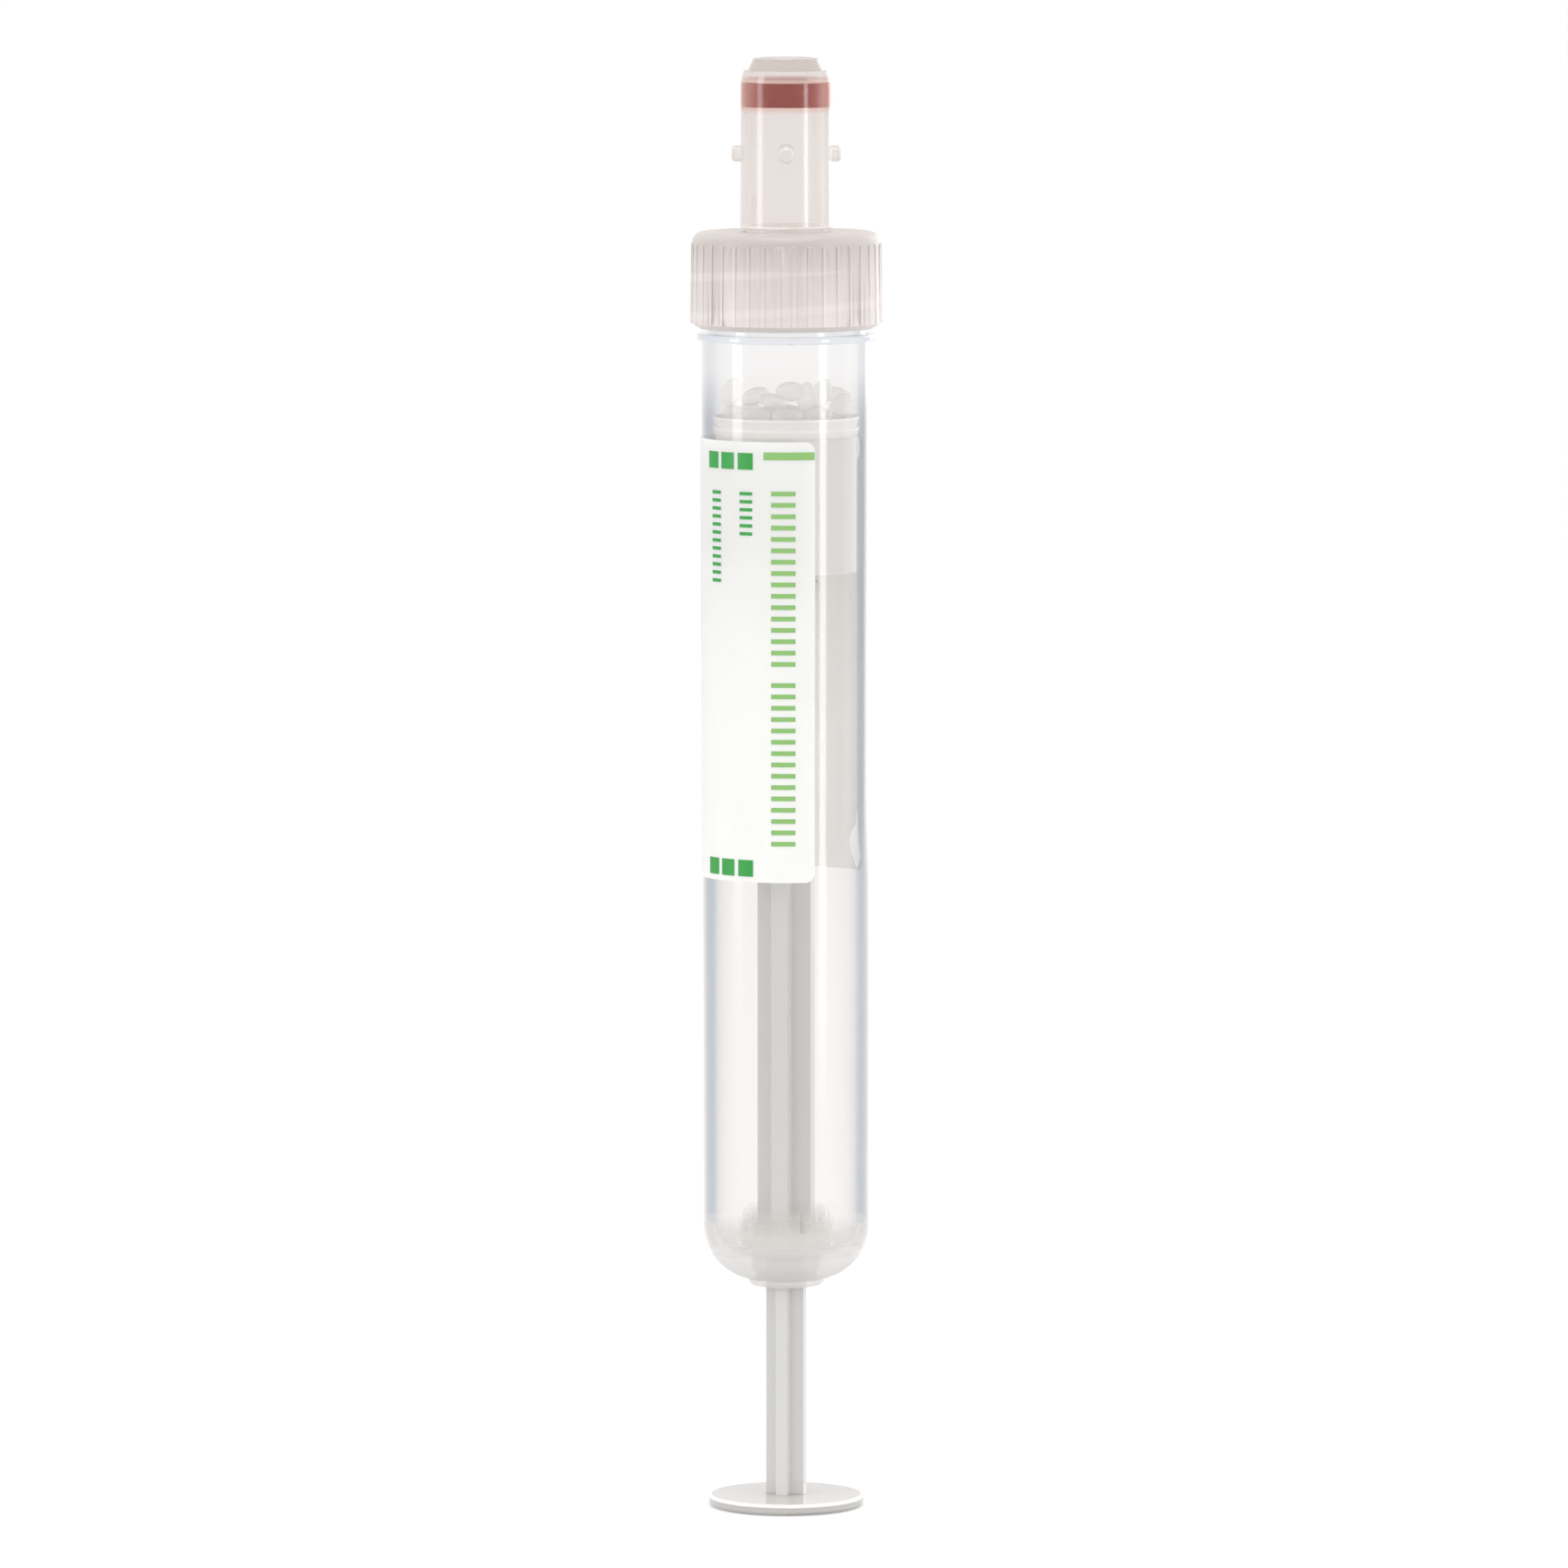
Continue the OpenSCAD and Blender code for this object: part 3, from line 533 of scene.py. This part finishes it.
def solidPlastic(name, colours, cloudMm, roughness, ior, grain, lit=0.0, cover=None):
    # a moulded plastic with faint clouds, cloudMm wide, between two colours; lit is the share that shows the
    # light behind it, cover how solid it is where it is seen square on and where it is seen edge on
    material, tree = newMaterial(name)
    place = objectAxes(tree)["place"]
    clouds = addNode(tree, "ShaderNodeTexNoise",
                     inputs={"Vector": place, "Scale": 1 / (cloudMm * mm), "Detail": 2.0})
    colour = addNode(tree, "ShaderNodeValToRGB", {"stops": zip(noiseRange, colours)},
                     {"Fac": clouds.outputs["Fac"]}).outputs["Color"]
    body = addNode(tree, "ShaderNodeBsdfPrincipled",
                   inputs={"Base Color": colour, "Roughness": roughness, "IOR": ior,
                           "Normal": skinGrain(tree, place, grain)})
    if lit:
        behind = addNode(tree, "ShaderNodeBsdfTranslucent", inputs={"Color": colour})
        body = addNode(tree, "ShaderNodeMixShader",
                       inputs={0: lit, 1: body.outputs[0], 2: behind.outputs[0]})
    if cover:
        slant = addNode(tree, "ShaderNodeLayerWeight")
        solid = addNode(tree, "ShaderNodeMapRange",
                        inputs={"Value": slant.outputs["Facing"], "To Min": cover[0], "To Max": cover[1]})
        through = addNode(tree, "ShaderNodeBsdfTransparent", inputs={"Color": colour})
        body = addNode(tree, "ShaderNodeMixShader",
                       inputs={0: solid.outputs["Result"], 1: through.outputs[0], 2: body.outputs[0]})
    finishMaterial(tree, body.outputs[0])
    return material


pistonLook = {
    "skirt": "#DAD8D6",  # painted shade: the skirt is greyer than the lip, for the label round it
    "lip": "#F0EEED",
    "lipEdge": (97.3, 0.2),
    "ior": 1.51,
    "roughness": 0.42,
    "grain": (0.3, 0.01),
}


def frostedPolyethylene():
    # soft natural polyethylene: milky white, satin from a fine-blasted mould
    look = pistonLook
    material, tree = newMaterial("frostedPolyethylene")
    spot = objectAxes(tree)
    # the greyer skirt below the lip is painted shade
    colour = layColours(tree, look["skirt"], [(pastEdge(tree, spot["height"], look["lipEdge"]), look["lip"])])
    body = addNode(tree, "ShaderNodeBsdfPrincipled",
                   inputs={"Base Color": colour, "Roughness": look["roughness"], "IOR": look["ior"],
                           "Normal": skinGrain(tree, spot["place"], look["grain"])})
    finishMaterial(tree, body.outputs[0])
    return material


rodLook = {
    "shaft": "#D9D8D6",
    "plate": "#CBC6C3",  # painted shade and reflection: the plate is greyer against the top lamp and warm
    "plateEdge": (1.1, -0.05),
    "plateTop": 1.0,  # mm
    "rimEdge": (6.755, 0.025),  # out from the axis, past this only the plate's rim
    # the rim is painted shade low on its side and a painted highlight on its top bevel
    "rim": [(0.0, "#B9B6B3"), (0.4, "#C4C1BE"), (0.66, "#BFBCB9"), (0.78, "#F4F2F0")],  # floor to top
    "cloudMm": 9.0,
    "cloudShade": 0.97,  # the darkest of the faint clouds
    "ior": 1.59,
    "roughness": 0.16,
    "grain": (0.6, 0.002),
}


def mouldedPolystyrene():
    # white general-purpose polystyrene, injection moulded: solid pale grey-white, satin
    look = rodLook
    material, tree = newMaterial("mouldedPolystyrene")
    spot = objectAxes(tree)
    upRim = addNode(tree, "ShaderNodeMapRange",
                    inputs={"Value": spot["height"], "From Max": look["plateTop"] * mm})
    rim = addNode(tree, "ShaderNodeValToRGB", {"stops": look["rim"]}, {"Fac": upRim.outputs["Result"]})
    # the plate's and the rim's colours are painted shade and a painted highlight over the shaft's
    colour = layColours(tree, look["shaft"], [
        (pastEdge(tree, spot["height"], look["plateEdge"]), look["plate"]),
        (pastEdge(tree, spot["reach"], look["rimEdge"]), rim.outputs["Color"])])
    clouds = addNode(tree, "ShaderNodeTexNoise",
                     inputs={"Vector": spot["place"], "Scale": 1 / (look["cloudMm"] * mm), "Detail": 2.0})
    shade = addNode(tree, "ShaderNodeMapRange",
                    inputs={"Value": clouds.outputs["Fac"], "To Min": look["cloudShade"], "To Max": 1.0})
    colour = addNode(tree, "ShaderNodeVectorMath", {"operation": "SCALE"},
                     {0: colour, "Scale": shade.outputs["Result"]})
    body = addNode(tree, "ShaderNodeBsdfPrincipled",
                   inputs={"Base Color": colour.outputs[0], "Roughness": look["roughness"],
                           "IOR": look["ior"], "Normal": skinGrain(tree, spot["place"], look["grain"])})
    finishMaterial(tree, body.outputs[0])
    return material


def beadPolystyrene():
    # polystyrene beads with a clotting agent: white, see-through enough to show the bead behind, smooth
    return solidPlastic("beadPolystyrene", colours=("#FCFCFB", "#FAFAFA"), cloudMm=1.2, roughness=0.25,
                        ior=1.59, grain=(0.5, 0.006), lit=0.4, cover=(0.32, 0.6))


def butylRubber():
    # red-brown butyl rubber, punched from sheet: matt, with a fine dust of filler
    return solidPlastic("butylRubber", colours=("#97413A", "#8E3B35"), cloudMm=0.8, roughness=0.6,
                        ior=1.52, grain=(0.25, 0.03))


def labelFilm():
    # white polypropylene label film: matt, thin enough to show light from behind, with a fibrous tooth that
    # is too fine to see and is drawn at 0.4 mm
    return solidPlastic("labelFilm", colours=("#FEFEFD", "#FDFDFC"), cloudMm=3.0, roughness=0.5,
                        ior=1.49, grain=(0.4, 0.003), lit=0.55)


def printInk(name, hexCode):
    # flexographic ink on film: flat colour, a touch glossier than the film
    return solidPlastic(name, colours=(hexCode, hexCode), cloudMm=1.0, roughness=0.4,
                        ior=1.5, grain=(0.2, 0.002))


looks = {
    "tube": clearPolypropylene(),
    "screw_cap": naturalPolyethylene(),
    "needle_adapter": naturalPolypropylene(),
    "membrane": butylRubber(),
    "piston": frostedPolyethylene(),
    "piston_rod": mouldedPolystyrene(),
    "label": labelFilm(),
}
beadLook = beadPolystyrene()
for name in nodes:
    dress(name, looks.get(name, beadLook))
inks = {
    "pale": printInk("paleGreenInk", "#8BBE6E"),
    "dark": printInk("darkGreenInk", "#229A38"),
}
print("materials set on", len(nodes), "CAD nodes")


def newTree(name, sockets):
    # sockets are pairs of a name and the kind of value; the tree gets a geometry output too
    tree = bpy.data.node_groups.new(name, "GeometryNodeTree")
    tree.interface.new_socket("Geometry", in_out="OUTPUT", socket_type="NodeSocketGeometry")
    for label, kind in sockets:
        tree.interface.new_socket(label, in_out="INPUT", socket_type="NodeSocket" + kind)
    return tree


def finishTree(tree, geometry, material):
    real = addNode(tree, "GeometryNodeRealizeInstances", inputs={"Geometry": geometry})
    dressed = addNode(tree, "GeometryNodeSetMaterial",
                      inputs={"Geometry": real.outputs[0], "Material": material})
    addNode(tree, "NodeGroupOutput", inputs={"Geometry": dressed.outputs[0]})


def threadTree():
    # a screw ridge: a trapezoid swept along a right-handed helix, its ends run out to the wall;
    # the crest's side is 1 for a ridge that points out and -1 for one that points in
    tree = newTree("screwRidge", [
        ("Root Radius", "Float"), ("Root Width", "Float"), ("Crest Width", "Float"), ("Depth", "Float"),
        ("Crest Side", "Float"), ("Pitch", "Float"), ("Turns", "Float"), ("Start Height", "Float"),
        ("Start Turn", "Float"), ("Run-out", "Float"), ("End Size", "Float"), ("Steps", "Int"),
        ("Material", "Material")])
    given = addNode(tree, "NodeGroupInput").outputs
    rise = addNode(tree, "ShaderNodeMath", {"operation": "MULTIPLY"}, {0: given["Pitch"], 1: given["Turns"]})
    helix = addNode(tree, "GeometryNodeCurveSpiral",
                    inputs={"Resolution": given["Steps"], "Rotations": given["Turns"], "Reverse": True,
                            "Start Radius": given["Root Radius"], "End Radius": given["Root Radius"],
                            "Height": rise.outputs[0]})
    helix = addNode(tree, "GeometryNodeSetCurveNormal", {"mode": "Z_UP"}, {"Curve": helix.outputs[0]})
    bar = addNode(tree, "GeometryNodeCurvePrimitiveQuadrilateral", {"mode": "TRAPEZOID"},
                  {"Bottom Width": given["Root Width"], "Top Width": given["Crest Width"],
                   "Height": given["Depth"], "Offset": 0.0})
    half = addNode(tree, "ShaderNodeMath", {"operation": "MULTIPLY"}, {0: given["Depth"], 1: 0.5})
    onRoot = addNode(tree, "ShaderNodeCombineXYZ", inputs={"Y": half.outputs[0]})
    bar = addNode(tree, "GeometryNodeTransform",
                  inputs={"Geometry": bar.outputs[0], "Translation": onRoot.outputs[0]})
    quarter = addNode(tree, "ShaderNodeMath", {"operation": "MULTIPLY"},
                      {0: given["Crest Side"], 1: -math.pi / 2})
    crestTurn = addNode(tree, "ShaderNodeCombineXYZ", inputs={"Z": quarter.outputs[0]})
    bar = addNode(tree, "GeometryNodeTransform",
                  inputs={"Geometry": bar.outputs[0], "Rotation": crestTurn.outputs[0]})
    along = addNode(tree, "GeometryNodeSplineParameter")
    toEnd = addNode(tree, "ShaderNodeMath", {"operation": "PINGPONG"}, {0: along.outputs["Factor"], 1: 0.5})
    size = addNode(tree, "ShaderNodeMapRange", {"interpolation_type": "SMOOTHSTEP"},
                   {"Value": toEnd.outputs[0], "From Max": given["Run-out"], "To Min": given["End Size"]})
    ridge = addNode(tree, "GeometryNodeCurveToMesh",
                    inputs={"Curve": helix.outputs[0], "Profile Curve": bar.outputs[0],
                            "Scale": size.outputs["Result"], "Fill Caps": True})
    lift = addNode(tree, "ShaderNodeCombineXYZ", inputs={"Z": given["Start Height"]})
    turn = addNode(tree, "ShaderNodeCombineXYZ", inputs={"Z": given["Start Turn"]})
    ridge = addNode(tree, "GeometryNodeTransform",
                    inputs={"Geometry": ridge.outputs[0], "Translation": lift.outputs[0],
                            "Rotation": turn.outputs[0]})
    finishTree(tree, ridge.outputs[0], given["Material"])
    return tree


def printTree():
    # a column of like patches of ink on the label, wrapped round the tube
    tree = newTree("printedColumn", [
        ("Radius", "Float"), ("Draft", "Float"), ("Turn", "Float"), ("Top", "Float"),
        ("Patch Width", "Float"), ("Patch Height", "Float"), ("Thickness", "Float"), ("Bend Points", "Int"),
        ("Step", "Float"), ("Count", "Int"), ("Material", "Material")])
    given = addNode(tree, "NodeGroupInput").outputs
    size = addNode(tree, "ShaderNodeCombineXYZ",
                   inputs={"X": given["Patch Width"], "Y": given["Thickness"], "Z": given["Patch Height"]})
    patch = addNode(tree, "GeometryNodeMeshCube",
                    inputs={"Size": size.outputs[0], "Vertices X": given["Bend Points"],
                            "Vertices Y": 2, "Vertices Z": 2})
    first = addNode(tree, "ShaderNodeMath", {"operation": "MULTIPLY_ADD"},
                    {0: given["Patch Height"], 1: -0.5, 2: given["Top"]})
    start = addNode(tree, "ShaderNodeCombineXYZ", inputs={"Z": first.outputs[0]})
    down = addNode(tree, "ShaderNodeMath", {"operation": "MULTIPLY"}, {0: given["Step"], 1: -1.0})
    step = addNode(tree, "ShaderNodeCombineXYZ", inputs={"Z": down.outputs[0]})
    places = addNode(tree, "GeometryNodeMeshLine",
                     inputs={"Count": given["Count"], "Start Location": start.outputs[0],
                             "Offset": step.outputs[0]})
    column = addNode(tree, "GeometryNodeInstanceOnPoints",
                     inputs={"Points": places.outputs[0], "Instance": patch.outputs["Mesh"]})
    column = addNode(tree, "GeometryNodeRealizeInstances", inputs={"Geometry": column.outputs[0]})
    place = addNode(tree, "GeometryNodeInputPosition")
    spot = addNode(tree, "ShaderNodeSeparateXYZ", inputs={0: place.outputs[0]}).outputs
    wall = addNode(tree, "ShaderNodeMath", {"operation": "MULTIPLY_ADD"},
                   {0: spot["Z"], 1: given["Draft"], 2: given["Radius"]})
    depth = addNode(tree, "ShaderNodeMath", {"operation": "SUBTRACT"}, {0: spot["Y"], 1: wall.outputs[0]})
    front = addNode(tree, "ShaderNodeCombineXYZ", inputs={"Y": depth.outputs[0], "Z": spot["Z"]})
    bend = addNode(tree, "ShaderNodeMath", {"operation": "DIVIDE"}, {0: spot["X"], 1: given["Radius"]})
    bend = addNode(tree, "ShaderNodeMath", {"operation": "ADD"}, {0: bend.outputs[0], 1: given["Turn"]})
    wrapped = addNode(tree, "ShaderNodeVectorRotate", {"rotation_type": "Z_AXIS"},
                      {"Vector": front.outputs[0], "Angle": bend.outputs[0]})
    moved = addNode(tree, "GeometryNodeSetPosition",
                    inputs={"Geometry": column.outputs[0], "Position": wrapped.outputs[0]})
    finishTree(tree, moved.outputs[0], given["Material"])
    return tree


def growPiece(name, tree, values, smooth):
    # runs a tree with these inputs and keeps the result as a plain closed mesh
    base = bpy.data.objects.new(name + "Base", bpy.data.meshes.new(name + "Base"))
    bpy.context.scene.collection.objects.link(base)
    modifier = base.modifiers.new(name, "NODES")
    modifier.node_group = tree
    identifiers = {item.name: item.identifier for item in tree.interface.items_tree if item.in_out == "INPUT"}
    for label, value in values.items():
        modifier[identifiers[label]] = value
    grown = base.evaluated_get(bpy.context.evaluated_depsgraph_get())
    mesh = bpy.data.meshes.new_from_object(grown)
    bpy.data.objects.remove(base)
    work = bmesh.new()
    work.from_mesh(mesh)
    bmesh.ops.recalc_face_normals(work, faces=work.faces)
    work.to_mesh(mesh)
    work.free()
    for face in mesh.polygons:
        face.use_smooth = smooth
    mesh.name = name
    piece = bpy.data.objects.new(name, mesh)
    bpy.context.scene.collection.objects.link(piece)
    return piece


def buildThreads():
    # the neck's ridge points out and the cap's points in, half a turn on, so that they pass each other
    tree = threadTree()
    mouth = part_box("screw_cap")[0].z
    shared = {
        "Root Width": threadForm["rootWidth"] * mm, "Crest Width": threadForm["crestWidth"] * mm,
        "Depth": threadForm["depth"] * mm, "Pitch": threadForm["pitch"] * mm,
        "Turns": threadForm["turns"], "Start Height": mouth + threadForm["start"] * mm,
        "Run-out": threadForm["runOut"], "End Size": threadForm["endSize"], "Steps": threadForm["steps"]}
    neck = growPiece("neckThread", tree, {
        **shared, "Root Radius": threadForm["neckRoot"] * mm, "Crest Side": 1.0, "Start Turn": 0.0,
        "Material": looks["tube"]}, smooth=True)
    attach(neck, "barrel")
    cap = growPiece("capThread", tree, {
        **shared, "Root Radius": threadForm["capRoot"] * mm, "Crest Side": -1.0, "Start Turn": math.pi,
        "Material": looks["screw_cap"]}, smooth=True)
    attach(cap, "closure")


buildThreads()
print("threads cut")

labelPrint = {
    "lift": 0.006,  # mm between the film and the ink
    "ink": 0.014,  # mm of ink
    "draft": 0.15 / 80.0,  # the tube widens by this much of its height
    "bendPoints": 9,  # across a patch
    # name, ink, degrees right of the front, mm down from the label's top, width, height, step, count
    "columns": [
        ("headBar", "pale", 2.0, 0.9, 4.55, 0.7, 1.0, 1),
        ("firstTicks", "pale", -2.0, 4.4, 2.15, 0.42, 1.02, 16),
        ("secondTicks", "pale", -2.0, 21.6, 2.15, 0.42, 1.02, 15),
        ("headBlockA", "dark", -28.5, 1.0, 1.5, 1.5, 1.0, 1),
        ("headBlockB", "dark", -43.0, 1.0, 1.5, 1.5, 1.0, 1),
        ("headBlockC", "dark", -57.5, 1.0, 1.5, 1.5, 1.0, 1),
        ("footBlockA", "dark", -28.5, 37.6, 1.5, 1.5, 1.0, 1),
        ("footBlockB", "dark", -43.0, 37.6, 1.5, 1.5, 1.0, 1),
        ("footBlockC", "dark", -57.5, 37.6, 1.5, 1.5, 1.0, 1),
        ("nameTicks", "dark", -28.0, 4.5, 1.25, 0.3, 0.72, 6),
        ("dateTicks", "dark", -54.0, 4.5, 1.25, 0.3, 0.72, 12),
    ],
}


def printLabel():
    tree = printTree()
    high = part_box("label")[1]
    wall = high.y - high.z * labelPrint["draft"]  # the label's outer radius, carried down to height zero
    shared = {
        "Radius": wall + (labelPrint["lift"] + labelPrint["ink"] / 2) * mm, "Draft": labelPrint["draft"],
        "Thickness": labelPrint["ink"] * mm, "Bend Points": labelPrint["bendPoints"]}
    for name, ink, turn, down, width, tall, step, count in labelPrint["columns"]:
        piece = growPiece(name, tree, {
            **shared, "Turn": math.radians(turn), "Top": high.z - down * mm, "Patch Width": width * mm,
            "Patch Height": tall * mm, "Step": step * mm, "Count": count, "Material": inks[ink]},
            smooth=False)
        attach(piece, "barrel")


printLabel()
print("label printed")

bpy.context.scene.view_settings.view_transform = "Standard"
print("scene done")
